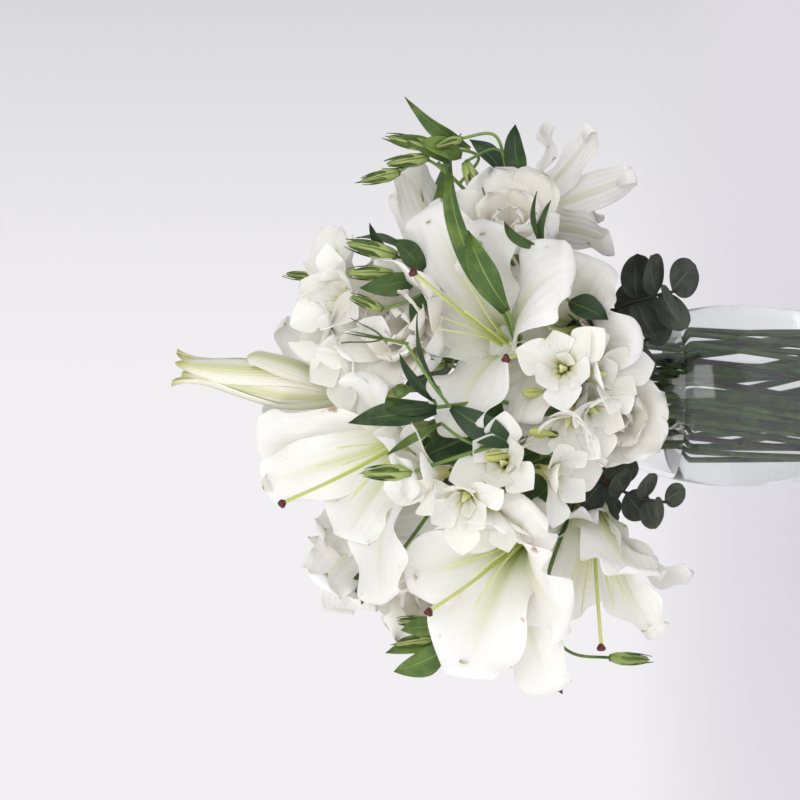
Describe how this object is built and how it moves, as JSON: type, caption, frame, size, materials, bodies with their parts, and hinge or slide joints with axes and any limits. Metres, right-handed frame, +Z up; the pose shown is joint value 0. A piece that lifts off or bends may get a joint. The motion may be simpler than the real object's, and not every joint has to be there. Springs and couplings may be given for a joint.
{
  "type": "vase of cut lilies",
  "caption": "Bouquet of white lilies, freesias and lisianthus with buds, leaves and eucalyptus, standing in a clear glass vase of water.",
  "frame": {"origin": "middle of the vase's flat underside", "axes": "+Z up along the vase's axis, -Y towards the bouquet's front, +X to its right"},
  "size_m": [0.4074, 0.3326, 0.5362],
  "materials": {
    "vase_glass": "polished",
    "water": "polished",
    "pistil": "satin",
    "stem": "satin",
    "bud": "satin",
    "lily_petal": "satin",
    "freesia_petal": "satin",
    "leaf": "satin",
    "lisianthus_petal": "satin",
    "eucalyptus_leaf": "satin"
  },
  "bodies": {
    "root": {"eucalyptus_1": "eucalyptus_leaf", "eucalyptus_2": "eucalyptus_leaf", "eucalyptus_3": "eucalyptus_leaf", "eucalyptus_4": "eucalyptus_leaf", "freesia_1": "freesia_petal", "freesia_2": "freesia_petal", "freesia_3": "freesia_petal", "freesia_4": "freesia_petal", "freesia_5": "freesia_petal", "lily_1": "lily_petal", "lily_10": "lily_petal", "lily_10_pistil": "pistil", "lily_11": "lily_petal", "lily_11_pistil": "pistil", "lily_12": "lily_petal", "lily_12_pistil": "pistil", "lily_1_pistil": "pistil", "lily_2": "lily_petal", "lily_2_pistil": "pistil", "lily_3": "lily_petal", "lily_3_pistil": "pistil", "lily_4": "lily_petal", "lily_4_pistil": "pistil", "lily_5": "lily_petal", "lily_5_pistil": "pistil", "lily_6": "lily_petal", "lily_6_pistil": "pistil", "lily_7": "lily_petal", "lily_7_pistil": "pistil", "lily_8": "lily_petal", "lily_8_pistil": "pistil", "lily_9": "lily_petal", "lily_9_pistil": "pistil", "lily_bud_1": "bud", "lily_bud_2": "bud", "lily_stem_1": "stem", "lily_stem_2": "stem", "lily_stem_3": "stem", "lily_stem_4": "stem", "lily_stem_5": "stem", "lisianthus_1": "lisianthus_petal", "lisianthus_2": "lisianthus_petal", "lisianthus_3": "lisianthus_petal", "lisianthus_4": "lisianthus_petal", "lisianthus_5": "lisianthus_petal", "lisianthus_6": "lisianthus_petal", "lisianthus_shoot_1": "leaf", "lisianthus_shoot_10": "leaf", "lisianthus_shoot_11": "leaf", "lisianthus_shoot_2": "leaf", "lisianthus_shoot_3": "leaf", "lisianthus_shoot_4": "leaf", "lisianthus_shoot_5": "leaf", "lisianthus_shoot_6": "leaf", "lisianthus_shoot_7": "leaf", "lisianthus_shoot_8": "leaf", "lisianthus_shoot_9": "leaf", "vase": "vase_glass", "water": "water"}
  },
  "joints": []
}
